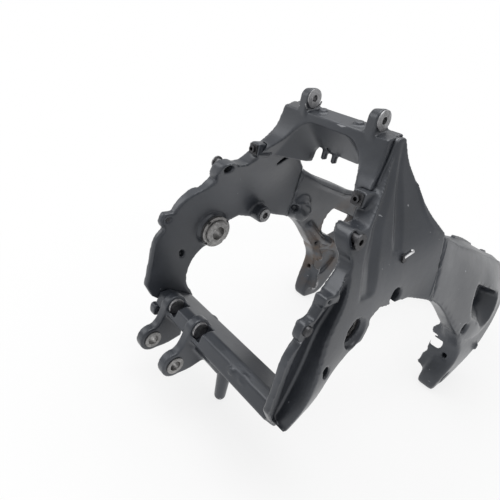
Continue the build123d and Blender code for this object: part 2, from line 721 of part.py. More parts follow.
with BuildPart() as left_heel_screw:
    add(turned(heel_x, heel_face, heel_z, 1, screw_profile))
left_heel_screw.part.label = "left_heel_screw"
export_step(left_heel_screw.part, "parts/left_heel_screw.step")

with BuildPart() as right_heel_screw:
    add(turned(heel_x, -heel_face, heel_z, -1, screw_profile))
right_heel_screw.part.label = "right_heel_screw"
export_step(right_heel_screw.part, "parts/right_heel_screw.step")
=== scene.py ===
"""Looks of a cast twin-spar motorcycle frame, laid out as an add-on and run as a script."""

import math

import bmesh
import bpy
import numpy as np
from mathutils import Matrix, Vector
from mathutils.bvhtree import BVHTree


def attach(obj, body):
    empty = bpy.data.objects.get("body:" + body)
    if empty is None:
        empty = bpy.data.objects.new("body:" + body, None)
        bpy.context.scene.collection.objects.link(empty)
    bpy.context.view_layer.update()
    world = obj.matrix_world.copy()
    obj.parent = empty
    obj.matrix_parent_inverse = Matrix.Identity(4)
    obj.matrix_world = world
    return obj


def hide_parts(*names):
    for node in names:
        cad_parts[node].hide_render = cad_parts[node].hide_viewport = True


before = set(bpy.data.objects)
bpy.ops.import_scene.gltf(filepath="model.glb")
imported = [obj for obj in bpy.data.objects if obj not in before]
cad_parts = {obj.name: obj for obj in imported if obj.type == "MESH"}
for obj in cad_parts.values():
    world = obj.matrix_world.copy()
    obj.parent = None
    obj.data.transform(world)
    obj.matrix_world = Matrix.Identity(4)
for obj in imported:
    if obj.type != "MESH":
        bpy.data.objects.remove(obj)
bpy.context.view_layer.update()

bl_info = {
    "name": "Cast motorcycle frame",
    "version": (1, 0, 0),
    "blender": (4, 5, 0),
    "location": "3D View > Sidebar > Frame",
    "description": "Dresses the castings, weld beads and fittings of a motorcycle frame",
    "category": "Object",
}

MM = 0.001
# where the arms leave the side castings, and how much their inner top edge stands above the outer one, in mm
SEAM_X = 161.0
ARM_RISE = 12.0
# (x, half-width) of the line along the outer top edge of an arm, in mm
ARM_EDGE = [(166, 136), (213, 136.5), (260, 137.5), (316, 137.5), (386, 135.5), (452, 132.5), (486, 131.5),
            (530, 113), (585, 72), (625, 46)]
# (x, z) of the outer top edge of an arm ahead of the seam
ARM_TOP = [(161, 89), (213, 70), (260, 56), (316, 39), (386, 17)]
# (half-width, z) of the joint between the upper crossmember and a side casting, seen from behind
TOP_JOINT = [(81, 196), (82, 185), (83.5, 172), (85, 158), (88, 146), (92, 134)]
# first x, last x and y of the two pads on the inner rim of the right arm
RIM_PADS = [(238, 326, -117.5), (390, 416, -118.0)]
# (x, z) outline of the window in an arm, and the corner that its dished wall runs towards
WINDOW = [(306, -2), (346, -16), (386, -30), (406, -38), (415, -46), (413, -60), (396, -84), (366, -90),
          (341, -74), (310, -60), (296, -30), (299, -10), (306, -2)]
WINDOW_FOCUS = (398.0, -46.0)
HEAD_ANGLE = math.radians(25)
CAMERA_RIGHT = (0.7459, -0.6351, 0.2006)
CAMERA_FORWARD = (0.6484, 0.6234, -0.4371)
SENSOR_MM = 36
# middle of the old grease at the left hanger, and how far it reaches, in m
GREASE_CENTRE = (0.335, 0.150, -0.085)
GREASE_REACH = (0.13, 0.03)
# the table fades to white between these distances from the frame, in m
TABLE_CENTRE = (0.28, 0.0, -0.219)
TABLE_FADE = (0.40, 0.75)
TABLE_GLOW = (0.80, 1.0)
TABLE_HALF = 6000
TABLE_ROWS = 13
# voxel size of each casting's skin, in mm
CASTINGS = {
    "head_casting": 2.55,
    "left_side_casting": 1.7,
    "right_side_casting": 1.5,
    "upper_crossmember": 1.3,
    "lower_crossmember": 1.4,
}
TURNED = {
    # node: (centre of its rings in mm, material family)
    "left_pivot_collar": ((0, 106, 0), "steel"),
    "right_pivot_collar": ((0, -106, 0), "steel"),
    "pivot_lock_ring": ((0, 112, 0), "steel"),
    "left_engine_collar": ((82, 100, 22), "alloy"),
    "right_engine_collar": ((82, -100, 22), "alloy"),
    "left_hanger_collar": ((331, 138, -191), "alloy"),
    "right_hanger_collar": ((331, -138, -191), "alloy"),
    "left_rail_bush": ((57, 41, 209.5), "alloy"),
    "right_rail_bush": ((57, -62, 209.5), "alloy"),
    "left_link_bush": ((-99, 89, -148), "steel"),
    "right_link_bush": ((-99, 29, -148), "steel"),
    "left_link_pin": ((-68, 88, -98), "alloy"),
    "right_link_pin": ((-68, 28, -98), "alloy"),
    "left_ear_collar": ((-12, 122, 102), "alloy"),
    "right_ear_collar": ((-12, -122, 102), "dark"),
    "left_heel_screw": ((-76, 138, 22), "dark"),
    "right_heel_screw": ((-76, -138, 22), "dark"),
    "left_clip_nut": ((12, 86, 132), "dark"),
    "right_clip_nut": ((12, -86, 132), "dark"),
    "upper_head_race": ((696, 0, -93), "bearing"),
    "lower_head_race": ((648, 0, -195), "bearing"),
}


class FrameFinish(bpy.types.PropertyGroup):
    """Colours and surface of the paint"""

    paint: bpy.props.FloatVectorProperty(
        name="Paint", description="Colour of the castings", subtype="COLOR", size=3, min=0, max=1,
        default=(0.027, 0.031, 0.039))
    worn: bpy.props.FloatVectorProperty(
        name="Worn edge", description="Colour of the metal where the paint is rubbed thin",
        subtype="COLOR", size=3, min=0, max=1, default=(0.42, 0.43, 0.45))
    grime: bpy.props.FloatVectorProperty(
        name="Grime", description="Colour of the old grease inside the left hanger",
        subtype="COLOR", size=3, min=0, max=1, default=(0.085, 0.052, 0.030))
    roughness: bpy.props.FloatProperty(
        name="Roughness", description="How dull the paint is", default=0.36, min=0.05, max=1,
        subtype="FACTOR")
    peel: bpy.props.FloatProperty(
        name="Cast grain", description="Depth of the grain in the paint", default=0.00022, min=0,
        unit="LENGTH")


class FrameStage(bpy.types.PropertyGroup):
    """Table, camera and light"""

    table: bpy.props.FloatProperty(
        name="Table", description="Height of the surface that the frame stands on", default=-0.219,
        unit="LENGTH")
    camera: bpy.props.FloatVectorProperty(
        name="Camera", description="Place of the camera", subtype="XYZ", size=3, unit="LENGTH",
        default=(-0.3709, -0.320, 0.2587))
    lens: bpy.props.FloatProperty(
        name="Lens", description="Focal length in mm", default=30.6, min=10, max=200)
    top_light: bpy.props.FloatProperty(
        name="Top light", description="Power of the large soft light above", default=13.0, min=0,
        unit="POWER")
    sky: bpy.props.FloatProperty(
        name="Sky", description="Strength of the even light from all round", default=0.62, min=0, max=2)


def grid(points, around=True, along=False, caps=False):
    """Corners and faces of a surface through an (n, m, 3) grid of points in mm. It is closed in its second
    direction where around is true and in its first where along is true; caps close its two ends each in
    the mean of the end's points."""
    points = np.asarray(points, float)
    n, m = points.shape[:2]
    if caps:
        first = np.repeat(points[:1].mean(axis=1, keepdims=True), m, axis=1)
        last = np.repeat(points[-1:].mean(axis=1, keepdims=True), m, axis=1)
        points = np.concatenate([first, points, last])
        n += 2
    i, j = np.meshgrid(np.arange(n if along else n - 1), np.arange(m if around else m - 1), indexing="ij")
    i2, j2 = (i + 1) % n, (j + 1) % m
    faces = np.stack([i * m + j, i * m + j2, i2 * m + j2, i2 * m + j], axis=-1).reshape(-1, 4)
    return points.reshape(-1, 3) * MM, faces


def joined(shapes):
    """Several (corners, faces) pairs as one."""
    start = np.cumsum([0] + [len(corners) for corners, faces in shapes[:-1]])
    return (np.concatenate([corners for corners, faces in shapes]),
            np.concatenate([faces + first for (corners, faces), first in zip(shapes, start)]))


def set_mesh(name, corners, faces):
    """A mesh from corners in metres and rows of four corner numbers."""
    mesh = bpy.data.meshes.new(name)
    mesh.vertices.add(len(corners))
    mesh.vertices.foreach_set("co", np.asarray(corners, float).ravel())
    mesh.loops.add(faces.size)
    mesh.loops.foreach_set("vertex_index", faces.ravel().astype(np.int32))
    mesh.polygons.add(len(faces))
    mesh.polygons.foreach_set("loop_start", np.arange(0, faces.size, 4, dtype=np.int32))
    mesh.polygons.foreach_set("loop_total", np.full(len(faces), 4, dtype=np.int32))
    mesh.update(calc_edges=True)
    mesh.validate()
    return mesh


def tidy(mesh, gap=2e-6):
    """Merge the seam and pole points, and turn all faces outwards."""
    bm = bmesh.new()
    bm.from_mesh(mesh)
    bmesh.ops.remove_doubles(bm, verts=bm.verts, dist=gap)
    bmesh.ops.dissolve_degenerate(bm, dist=gap, edges=bm.edges)
    bmesh.ops.recalc_face_normals(bm, faces=bm.faces)
    bm.to_mesh(mesh)
    bm.free()
    return mesh


def unit(v):
    """Vectors divided by their lengths."""
    return v / np.maximum(np.linalg.norm(v, axis=-1, keepdims=True), 1e-12)


def smooth(points, count):
    """Even points on a smooth curve through the given ones: cubic pieces that share a slope at each point."""
    p = np.asarray(points, float)
    t = np.r_[0, np.cumsum(np.linalg.norm(np.diff(p, axis=0), axis=1))]
    slope = np.gradient(p, t, axis=0)
    s = np.linspace(0, t[-1], count)
    k = np.clip(np.searchsorted(t, s, side="right") - 1, 0, len(t) - 2)
    h = (t[k + 1] - t[k])[:, None]
    u = (s - t[k])[:, None] / h
    return ((2 * u**3 - 3 * u**2 + 1) * p[k] + (u**3 - 2 * u**2 + u) * h * slope[k]
            + (3 * u**2 - 2 * u**3) * p[k + 1] + (u**3 - u**2) * h * slope[k + 1])


def sweep(path, normal, width, height, ripple=0.0, step=3.0, sink=0.3, count=12, power=1.0, closed=False):
    """Bead along a path: an oval section, wide across the path and high along the normal, with its height
    swelling and falling at every step, as the scales of a weld do. It is sunk into its seat by a share."""
    path, normal = np.asarray(path, float), unit(np.broadcast_to(np.asarray(normal, float), np.shape(path)))
    if closed:
        along = unit(np.roll(path, -1, axis=0) - np.roll(path, 1, axis=0))
    else:
        along = unit(np.gradient(path, axis=0))
    across = unit(np.cross(along, normal))
    up = np.cross(across, along)
    far = np.r_[0, np.cumsum(np.linalg.norm(np.diff(path, axis=0), axis=1))]
    swell = 1 - ripple * np.abs(np.sin(np.pi * far / step))[:, None, None]
    a = np.linspace(0, 2 * np.pi, count, endpoint=False)
    x = width * np.sign(np.cos(a)) * np.abs(np.cos(a)) ** power
    z = height * (np.sign(np.sin(a)) * np.abs(np.sin(a)) ** power - sink)
    if not closed:
        ends = np.minimum(1, np.minimum(far, far[-1] - far) / max(width, 0.1) + 0.35)[:, None, None]
        swell = swell * ends
    points = path[:, None] + across[:, None] * (x[None, :, None] * (0.5 + 0.5 * swell)) + up[:, None] * (
        z[None, :, None] * swell)
    return grid(points, along=closed, caps=not closed)


def lathe(centre, axis, profile, count=40):
    """Turned piece: the profile lists (distance along the axis, radius), carried once round the axis."""
    axis = unit(np.asarray(axis, float))
    side = unit(np.cross(axis, (0.3, 0.9, 0.2)))
    other = np.cross(axis, side)
    a = np.linspace(0, 2 * np.pi, count, endpoint=False)
    d, r = np.asarray(profile, float).T
    round_it = np.cos(a)[:, None] * side + np.sin(a)[:, None] * other
    return grid(np.asarray(centre) + d[:, None, None] * axis + r[:, None, None] * round_it)


def slab(outline, origin, u, v, thickness, soft=1.0):
    """Plate with softened edges: a flat outline in the plane of u and v, drawn in towards its middle at both
    faces, and carried through its thickness along the third direction."""
    flat = np.asarray(outline, float)
    u, v = unit(np.asarray(u, float)), unit(np.asarray(v, float))
    w = np.cross(u, v)
    middle = flat.mean(axis=0)
    reach = np.linalg.norm(flat - middle, axis=1).mean()
    rows = [(0, 0), (1 - soft / reach, 0), (1 - 0.3 * soft / reach, 0.3 * soft), (1, soft),
            (1, thickness - soft), (1 - 0.3 * soft / reach, thickness - 0.3 * soft),
            (1 - soft / reach, thickness), (0, thickness)]
    share, deep = np.array(rows).T
    ring = middle + share[:, None, None] * (flat - middle)
    return grid(np.asarray(origin) + ring[..., :1] * u + ring[..., 1:] * v + deep[:, None, None] * w)


def oval(rx, rz, count=28, power=1.0):
    """Flat outline of an oval; a power under one squares it."""
    a = np.linspace(0, 2 * np.pi, count, endpoint=False)
    return np.stack([rx * np.sign(np.cos(a)) * np.abs(np.cos(a)) ** power,
                     rz * np.sign(np.sin(a)) * np.abs(np.sin(a)) ** power], axis=-1)


def finished(name, shapes, material, angle=38):
    """One piece of the scene from one or more (corners, faces) pairs."""
    mesh = tidy(set_mesh(name, *joined(shapes)))
    mesh.polygons.foreach_set("use_smooth", np.ones(len(mesh.polygons), bool))
    mesh.set_sharp_from_angle(angle=math.radians(angle))
    return place(name, mesh, material)


def place(name, mesh, material):
    """Link a finished mesh at the origin, give it its material and let it ride on the frame."""
    mesh.materials.clear()
    mesh.materials.append(material)
    piece = bpy.data.objects.new(name, mesh)
    bpy.context.scene.collection.objects.link(piece)
    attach(piece, "root")
    return piece


class Shader:
    """Short way to lay out the nodes of one material."""

    def __init__(self, name):
        self.material = bpy.data.materials.get(name)
        self.ready = self.material is not None
        if self.ready:
            return
        self.material = bpy.data.materials.new(name)
        self.material.use_nodes = True
        self.tree = self.material.node_tree
        self.tree.nodes.clear()
        self.out = self.add("ShaderNodeOutputMaterial")
        self.bsdf = self.add("ShaderNodeBsdfPrincipled")
        self.join(self.bsdf, 0, self.out, "Surface")
        self.coords = self.add("ShaderNodeTexCoord")

    def add(self, kind, **values):
        node = self.tree.nodes.new(kind)
        for key, value in values.items():
            setattr(node, key, value)
        return node

    def join(self, source, out, target, into):
        self.tree.links.new(source.outputs[out], target.inputs[into])

    def noise(self, scale, detail=4.0, rough=0.5, stretch=None, turn=(0, 0, 0)):
        node = self.add("ShaderNodeTexNoise")
        node.inputs["Scale"].default_value = scale
        node.inputs["Detail"].default_value = detail
        node.inputs["Roughness"].default_value = rough
        if stretch is None:
            self.join(self.coords, "Object", node, "Vector")
        else:
            mapping = self.add("ShaderNodeMapping")
            mapping.inputs["Scale"].default_value = stretch
            mapping.inputs["Rotation"].default_value = turn
            self.join(self.coords, "Object", mapping, "Vector")
            self.join(mapping, 0, node, "Vector")
        return node

    def ramp(self, source, out, low, high, low_value=0.0, high_value=1.0):
        node = self.add("ShaderNodeMapRange")
        node.interpolation_type = "SMOOTHSTEP"
        node.clamp = True
        node.inputs["From Min"].default_value = low
        node.inputs["From Max"].default_value = high
        node.inputs["To Min"].default_value = low_value
        node.inputs["To Max"].default_value = high_value
        self.join(source, out, node, "Value")
        return node

    def maths(self, operation, a, b):
        node = self.add("ShaderNodeMath", operation=operation)
        for place_in, value in ((0, a), (1, b)):
            if isinstance(value, (int, float)):
                node.inputs[place_in].default_value = value
            else:
                self.join(value, 0, node, place_in)
        return node

    def mix(self, mask, a, b):
        node = self.add("ShaderNodeMix", data_type="RGBA")
        self.join(mask, 0, node, 0)
        for place_in, value in ((6, a), (7, b)):
            if isinstance(value, tuple):
                node.inputs[place_in].default_value = (*value, 1) if len(value) == 3 else value
            else:
                self.tree.links.new(value, node.inputs[place_in])
        return node

    def bump(self, height, distance, strength=1.0, under=None):
        node = self.add("ShaderNodeBump")
        node.inputs["Distance"].default_value = distance
        node.inputs["Strength"].default_value = strength
        self.join(height, 0, node, "Height")
        if under is not None:
            self.join(under, 0, node, "Normal")
        self.join(node, 0, self.bsdf, "Normal")
        return node


def cast_paint():
    """Satin charcoal paint on cast metal: tone changes, fine grain, rubbed edges, scuffs and old grease."""
    shader = Shader("satin charcoal paint")
    if shader.ready:
        return shader.material
    look = bpy.context.scene.frame_finish
    paint, worn, grime = tuple(look.paint), tuple(look.worn), tuple(look.grime)
    lighter = tuple(min(1, c * 1.45 + 0.004) for c in paint)
    tone = shader.ramp(shader.noise(7.0, 5.0, 0.6), 0, 0.35, 0.68)
    colour = shader.mix(tone, paint, lighter)
    # old grease round the left hanger and the engine side of the left arm
    stain = shader.add("ShaderNodeVectorMath", operation="DISTANCE")
    shader.join(shader.coords, "Object", stain, 0)
    stain.inputs[1].default_value = GREASE_CENTRE
    near = shader.add("ShaderNodeMapRange")
    shader.tree.links.new(stain.outputs["Value"], near.inputs["Value"])
    near.inputs["From Min"].default_value = GREASE_REACH[0]
    near.inputs["From Max"].default_value = GREASE_REACH[1]
    patch = shader.maths("MULTIPLY", near, shader.ramp(shader.noise(26.0, 6.0, 0.65), 0, 0.42, 0.62))
    colour = shader.mix(patch, colour.outputs[2], grime)
    # rubbed edges, broken up by noise
    geometry = shader.add("ShaderNodeNewGeometry")
    edge = shader.ramp(geometry, "Pointiness", 0.535, 0.60)
    broken = shader.ramp(shader.noise(48.0, 8.0, 0.7), 0, 0.40, 0.62)
    rubbed = shader.maths("MULTIPLY", edge, broken)
    # short scuffs and chips
    scuffs = shader.ramp(shader.noise(95.0, 3.0, 0.4, (1.0, 0.28, 1.9), (0.6, 0.3, 0.9)), 0, 0.76, 0.785)
    chips = shader.ramp(shader.noise(150.0, 2.0, 0.3), 0, 0.785, 0.80)
    marks = shader.maths("MAXIMUM", scuffs, chips)
    marks = shader.maths("MULTIPLY", marks, 0.75)
    wear = shader.maths("MAXIMUM", rubbed, marks)
    wear = shader.maths("MULTIPLY", wear, 0.85)
    colour = shader.mix(wear, colour.outputs[2], worn)
    shader.join(colour, 2, shader.bsdf, "Base Color")
    gloss = shader.ramp(shader.noise(14.0, 7.0, 0.6), 0, 0.3, 0.7,
                        look.roughness - 0.05, look.roughness + 0.09)
    dull = shader.maths("ADD", gloss, shader.maths("MULTIPLY", patch, 0.22))
    shader.join(dull, 0, shader.bsdf, "Roughness")
    shader.bsdf.inputs["Metallic"].default_value = 0.30
    shader.bsdf.inputs["Specular IOR Level"].default_value = 0.62
    shader.bsdf.inputs["Coat Weight"].default_value = 0.35
    shader.bsdf.inputs["Coat Roughness"].default_value = 0.30
    grain = shader.noise(420.0, 5.0, 0.6)
    waves = shader.noise(60.0, 3.0, 0.5)
    first = shader.bump(waves, 0.0006, 0.35)
    shader.bump(grain, look.peel, 0.55, first)
    return shader.material


def turned_metal(name, centre, colour, roughness, axis=(0, 1, 0), ring=0.0006):
    """Machined metal with fine rings round an axis through a centre in mm, brushed and slightly soiled."""
    shader = Shader(name)
    if shader.ready:
        return shader.material
    shift = shader.add("ShaderNodeMapping")
    shift.inputs["Location"].default_value = tuple(-c * MM for c in centre)
    shader.join(shader.coords, "Object", shift, "Vector")
    cross = shader.add("ShaderNodeVectorMath", operation="CROSS_PRODUCT")
    shader.join(shift, 0, cross, 0)
    cross.inputs[1].default_value = axis
    length = shader.add("ShaderNodeVectorMath", operation="LENGTH")
    shader.join(cross, 0, length, 0)
    wave = shader.add("ShaderNodeMath", operation="MULTIPLY")
    shader.tree.links.new(length.outputs["Value"], wave.inputs[0])
    wave.inputs[1].default_value = 2 * math.pi / ring
    rings = shader.maths("SINE", wave, 0.0)
    soil = shader.ramp(shader.noise(160.0, 6.0, 0.65), 0, 0.36, 0.66)
    darker = tuple(c * 0.62 for c in colour)
    tint = shader.mix(soil, darker, colour)
    shader.join(tint, 2, shader.bsdf, "Base Color")
    gloss = shader.ramp(shader.noise(300.0, 4.0, 0.6), 0, 0.3, 0.7, roughness - 0.08, roughness + 0.12)
    shader.join(gloss, 0, shader.bsdf, "Roughness")
    shader.bsdf.inputs["Metallic"].default_value = 1.0
    scratch = shader.noise(700.0, 4.0, 0.6, (1, 0.2, 1))
    first = shader.bump(rings, 0.00004, 0.5)
    shader.bump(scratch, 0.00005, 0.6, first)
    return shader.material


FAMILIES = {
    "alloy": ((0.42, 0.42, 0.43), 0.44, (0, 1, 0)),
    "steel": ((0.36, 0.355, 0.35), 0.42, (0, 1, 0)),
    "dark": ((0.10, 0.10, 0.105), 0.42, (0, 1, 0)),
    "bearing": ((0.46, 0.46, 0.47), 0.30, (math.sin(HEAD_ANGLE), 0, math.cos(HEAD_ANGLE))),
}


def family_metal(node):
    """The turned metal of a node, with its rings centred on it."""
    centre, family = TURNED[node]
    colour, roughness, axis = FAMILIES[family]
    if node.endswith("clip_nut"):
        axis = (1, 0, 0)
    return turned_metal(family + " of " + node.replace("_", " "), centre, colour, roughness, axis)


SIDE_HOLES = [
    # centre, half-sizes and slant in degrees of the small openings in the inner face, then y from and to
    ((-47, -34), (3.6, 7.0), 20, 100, 131),
    ((-32, -103), (1.2, 4.0), -40, 112, 124),
]


def y_hole(x, z, rx, rz, slant, y0, y1, power=1.0):
    """Oval bar along Y, to cut or to add: an oval turned by the slant and carried from one y to the other."""
    c, s = math.cos(math.radians(slant)), math.sin(math.radians(slant))
    flat = oval(rx, rz, 28, power) @ np.array([[c, s], [-s, c]])
    return slab(flat, (x, max(y0, y1), z), (1, 0, 0), (0, 0, 1), abs(y1 - y0), 0.05)


def bowl(side, tree):
    """Dished wall of the window in an arm: rings of the window's outline that shrink towards its upper front
    corner as they go in, closed behind by the same outline, so that it is a thick funnel."""
    edge = smooth(WINDOW, 65)[:-1]
    focus = np.array(WINDOW_FOCUS)
    # how far each ring is drawn in, and its depth below the outer face
    rows = np.array([(-0.07, 2.5), (0.0, 1.2), (0.06, 3.0), (0.18, 9.0), (0.32, 16.0), (0.44, 24.0),
                     (0.52, 33.0), (0.50, 40.0), (-0.05, 40.0)])
    out = []
    for x, z in focus + 1.04 * (edge - focus):
        hit = tree.ray_cast(Vector((x, side * 260, z)) * MM, Vector((0, -side, 0)))[0]
        out.append(abs(hit.y) / MM if hit else 168.0)
    out = np.minimum(np.array(out), 176.0)
    flat = focus + (1 - rows[:, 0])[:, None, None] * (edge - focus)
    y = side * (out[None, :] - rows[:, 1][:, None])
    return grid(np.stack([flat[..., 0], y, flat[..., 1]], axis=-1), along=True)


def ragged(side):
    """Torn-looking inner flange of a hanger: a five-sided section carried down its rear edge, whose free side
    moves in and out with the height."""
    rows = np.array([  # z, rear x, half-width of the free edge
        (-70, 296, 143), (-80, 299, 138), (-90, 302, 135), (-98, 305, 133), (-104, 306, 128.5),
        (-110, 308, 126), (-116, 310, 127), (-122, 312, 130.5), (-128, 315, 132.5), (-136, 317, 129),
        (-145, 318, 128), (-153, 318, 130), (-160, 318, 131), (-166, 317, 128), (-174, 317, 126),
        (-180, 316, 127.5), (-186, 316, 124), (-190, 315, 128), (-192, 313, 136), (-190, 312, 146)])
    t = np.linspace(0, 1, 90)
    z, x, y = (np.interp(t * (len(rows) - 1), np.arange(len(rows)), rows[:, k]) for k in range(3))
    inner = np.full_like(y, 152.0)
    ring = [(x, y, z), (x + 1.2, y - 0.6, z), (x + 4.5, y, z), (x + 5.5, inner, z), (x - 0.5, inner, z)]
    points = np.stack([np.stack([a, side * b, c], axis=-1) for a, b, c in ring], axis=1)
    return grid(points, caps=True)


def hanger_details(side):
    """What the mould adds to a hanger and its arm: inner flange, bar under the window and nub in front."""
    bar = smooth([(236, side * 133, -26), (262, side * 134, -44), (292, side * 138, -66),
                  (322, side * 141, -82), (346, side * 142, -90)], 30)
    nub = y_hole(394, -142, 4, 6, 0, side * 166, side * 184, 0.6)
    return [ragged(side), sweep(bar, (0, -side, 0), 7.0, 8.0, sink=0.1, power=0.8, count=16), nub]


def hanger_cuts(side):
    """Openings that the mould leaves in a hanger: panel in the inner wall, slot and recess in its faces."""
    panel = [(-26, 22), (8, 16), (36, 8), (46, -4), (34, -22), (8, -40), (-8, -38), (-22, -10)]
    flat = smooth(panel + panel[:1], 49)[:-1]
    return [
        slab(flat, (338, 150 if side > 0 else -130, -124), (1, 0, 0), (0, 0, 1), 20, 0.05),
        y_hole(276, -79, 9, 1.8, -8, side * 146, side * 168),
        y_hole(332, -212, 13, 4.0, 30, side * 158, side * 176),
    ]


def rear_details(side):
    """Raised line that the mould leaves along the front edge of a side casting's shoulder."""
    line = smooth([(100, side * 103, 152), (105.5, side * 109, 141), (114, side * 119.5, 121),
                   (122.5, side * 125.3, 110), (135, side * 131.5, 99), (154, side * 134.5, 90)], 40)
    return [sweep(line, (-0.1, side * 0.9, 0.35), 1.6, 1.5, sink=0.25)]


def casting_parts(node, tree):
    """(added, cut away) shapes of a casting before it is skinned."""
    side = 1 if node.startswith("left") else -1
    if node == "head_casting":
        outline = [(-24, 2), (-20, 14), (0, 20), (18, 12), (24, 0), (20, -14), (0, -20), (-18, -12), (-24, 2)]
        bracket = slab(smooth(outline, 41)[:-1], (190, 128, 14), (0.86, 0.0, -0.5), (0.5, 0.0, 0.86), 15, 2.0)
        lines = ([(178, 113, 32), (196, 113, 22), (216, 117, 8)],
                 [(172, 113, 18), (188, 113, 6), (206, 117, -6)])
        ribs = [sweep(smooth(line, 16), (0, -1, 0), 2.2, 3.5, sink=0.2) for line in lines]
        added = [bracket] + ribs
        cut = [y_hole(171, 18, 6.5, 6.0, 0, 100, 126), y_hole(194, 26, 6.5, 2.6, -30, 100, 124)]
        for way in (-1, 1):
            added += hanger_details(way)
            cut += hanger_cuts(way)
        added.append(bowl(-1, tree))
        return added, cut
    if node.endswith("side_casting"):
        cut = [y_hole(x, z, rx, rz, slant, side * y0, side * y1)
               for (x, z), (rx, rz), slant, y0, y1 in SIDE_HOLES]
        cut.append(y_hole(86, 116.5, 14.5, 3.6, 38, side * 84, side * 106, 0.8))
        cut.append(y_hole(-41, -35, 5.0, 9.0, 20, side * 143, side * 160))
        added = rear_details(side)
        if side > 0:
            added.append(slab(oval(6, 9, 24, 0.5), (-81, 128, -119), (1, 0, 0), (0, 0, 1), 14, 1.5))
        else:
            peg = [(0, 0), (0, 6.5), (9, 6), (12, 4), (13, 0)]
            added.append(lathe((-52, -132, -112), (-0.1, 0, -1), peg, 20))
            cut.append(y_hole(-62, -95, 2.0, 2.0, 0, -140, -170))
            cut.append(y_hole(-78, -88, 2.2, 2.2, 0, -120, -170))
        return added, cut
    if node == "upper_crossmember":
        ring = [(0, 0), (0, 6.6), (4.2, 6.2), (4.8, 5.4), (4.8, 2.6), (4.0, 2.2), (4.0, 0)]
        added = [lathe((63, y, 196), (-0.27, 0, 0.96), ring, 32) for y in (-28, 28)]
        guide = smooth([(86, 17.5, 170), (89, 17.5, 160), (88, 17.5, 150), (88, 17.5, 146)], 14)
        added.append(sweep(guide, (-1, 0, 0), 9.0, 2.0, sink=0.5, power=0.6, count=16))
        cut = [slab(oval(2.4, 3.4, 20), (80, 19, 153), (0, 1, 0), (0, 0, 1), 20, 0.05),
               y_hole(86, 116.5, 14.5, 3.6, 38, 80, 110, 0.8)]
        return added, cut
    mark = smooth([(-79, -68.5, -99), (-72.5, -68.5, -91), (-71.5, -75.5, -91), (-78.5, -77.5, -99)], 4)
    mark = np.concatenate([mark, mark[:1]])
    added = [sweep(np.linspace(a, b, 12), (-0.8, 0, 0.6), 1.0, 1.1, sink=0.1)
             for a, b in zip(mark[:-1], mark[1:])]
    boss = [(-4, 0), (-4, 5), (2.2, 4.6), (2.8, 3.6), (2.8, 0)]
    added.append(lathe((-78, -53, -97), (-0.95, 0, 0.32), boss, 24))
    added.append(slab(oval(6, 4, 24, 0.5), (-22, 56, -112), (0, 1, 0), (0.42, 0, 0.91), 4, 0.8))
    slit = oval(5.5, 1.2, 24, 0.6)
    cut = [slab(slit, (-40, y, -101), (0, 1, 0), (0.91, 0, -0.42), 9, 0.05) for y in (-8, 98)]
    return added, cut


def lower_far_rim(corners):
    """Ease the inner rim of the left arm down where it stands too proud, between the weld and the window."""
    x, y, z = corners.T / MM
    along = np.clip((x - 165) / 40, 0, 1) * np.clip((345 - x) / 40, 0, 1)
    near = along * np.clip((136 - y) / 26, 0, 1) * (y > 80)
    top = np.interp(x, *np.array(ARM_TOP, float).T)
    rise = ARM_RISE * np.clip((x - SEAM_X) / 95, 0, 1)
    corners[:, 2] -= MM * near * rise * np.clip((z - top + 16) / 16, 0, 1)
    return corners


def cast_skin(node, voxel):
    """A copy of a casting as the mould leaves it: merged, given its cast details, rebuilt as an even skin,
    and eased so that edges and inner corners turn soft."""
    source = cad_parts[node]
    mesh = source.data.copy()
    tidy(mesh, 4e-6)
    tree = BVHTree.FromPolygons([v.co.copy() for v in mesh.vertices],
                                [tuple(f.vertices) for f in mesh.polygons])
    added, cut = casting_parts(node, tree)
    bm = bmesh.new()
    bm.from_mesh(mesh)
    for shape in added:
        bm.from_mesh(tidy(set_mesh("added", *shape)))
    bm.to_mesh(mesh)
    bm.free()
    work = bpy.data.objects.new(node + "_work", mesh)
    bpy.context.scene.collection.objects.link(work)
    fill = work.modifiers.new("fuse", "REMESH")
    fill.mode = "VOXEL"
    fill.voxel_size = voxel * MM
    tool = None
    if cut:
        tool = bpy.data.objects.new("tool", tidy(set_mesh("tool", *joined(cut))))
        bpy.context.scene.collection.objects.link(tool)
        take = work.modifiers.new("take", "BOOLEAN")
        take.operation = "DIFFERENCE"
        take.object = tool
        take.solver = "MANIFOLD"
    rebuild = work.modifiers.new("skin", "REMESH")
    rebuild.mode = "VOXEL"
    rebuild.voxel_size = voxel * MM
    rebuild.use_smooth_shade = True
    ease = work.modifiers.new("ease", "SMOOTH")
    ease.factor = 0.5
    ease.iterations = 4
    graph = bpy.context.evaluated_depsgraph_get()
    skin = bpy.data.meshes.new_from_object(work.evaluated_get(graph), depsgraph=graph)
    bpy.data.objects.remove(work)
    if tool:
        bpy.data.objects.remove(tool)
    if node == "head_casting":
        corners = np.empty(len(skin.vertices) * 3)
        skin.vertices.foreach_get("co", corners)
        skin.vertices.foreach_set("co", lower_far_rim(corners.reshape(-1, 3)).ravel())
    skin.name = node + "_skin"
    skin.polygons.foreach_set("use_smooth", np.ones(len(skin.polygons), bool))
    piece = place(node + "_skin", skin, cast_paint())
    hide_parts(node)


class FRAME_OT_castings(bpy.types.Operator):
    """Skin the five castings with softened edges, cast details and satin paint"""

    bl_idname = "frame.castings"
    bl_label = "Castings"

    def execute(self, context):
        for node, voxel in CASTINGS.items():
            cast_skin(node, voxel)
        return {"FINISHED"}


